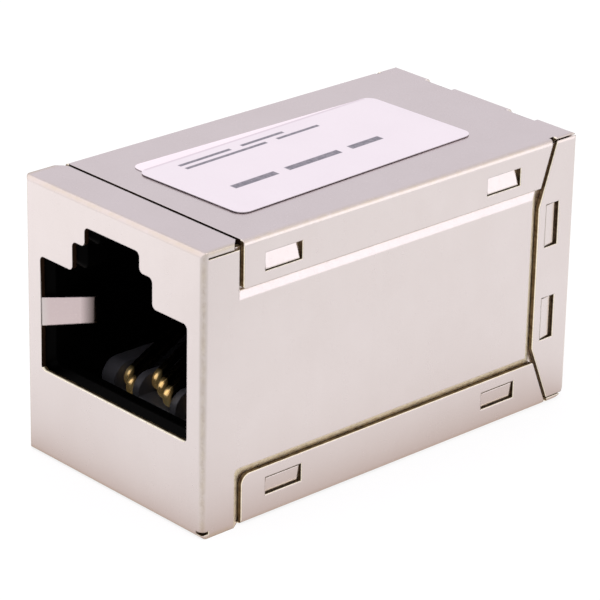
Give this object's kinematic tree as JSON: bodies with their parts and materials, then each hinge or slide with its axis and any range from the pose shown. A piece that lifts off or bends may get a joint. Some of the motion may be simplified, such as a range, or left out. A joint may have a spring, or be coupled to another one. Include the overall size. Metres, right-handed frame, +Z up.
{
  "type": "inline network coupler",
  "caption": "Shielded inline coupler: a small plated metal box with a modular plug port in each end, spring contacts inside, and snap-together side flaps.",
  "frame": {"origin": "under the middle of the box, on the surface it stands on", "axes": "+Y along the cable path from the front port to the rear port, +Z up, towards the latch slots and the label"},
  "size_m": [0.0146, 0.0274, 0.0162],
  "materials": {
    "shield": "satin nickel plating",
    "label_film": "white film with a soft sheen",
    "housing": "black moulded plastic",
    "carrier": "dark grey moulded plastic",
    "board": "green solder mask",
    "contact": "gold plating"
  },
  "bodies": {
    "root": {"front_shell": "shield", "rear_shell": "shield", "under_label": "label_film", "label": "label_film", "front_jack_housing": "housing", "rear_jack_housing": "housing", "front_contact_carrier": "carrier", "rear_contact_carrier": "carrier", "circuit_board": "board", "front_contact_1": "contact", "front_contact_2": "contact", "front_contact_3": "contact", "front_contact_4": "contact", "front_contact_5": "contact", "front_contact_6": "contact", "front_contact_7": "contact", "front_contact_8": "contact", "rear_contact_1": "contact", "rear_contact_2": "contact", "rear_contact_3": "contact", "rear_contact_4": "contact", "rear_contact_5": "contact", "rear_contact_6": "contact", "rear_contact_7": "contact", "rear_contact_8": "contact"}
  },
  "joints": []
}
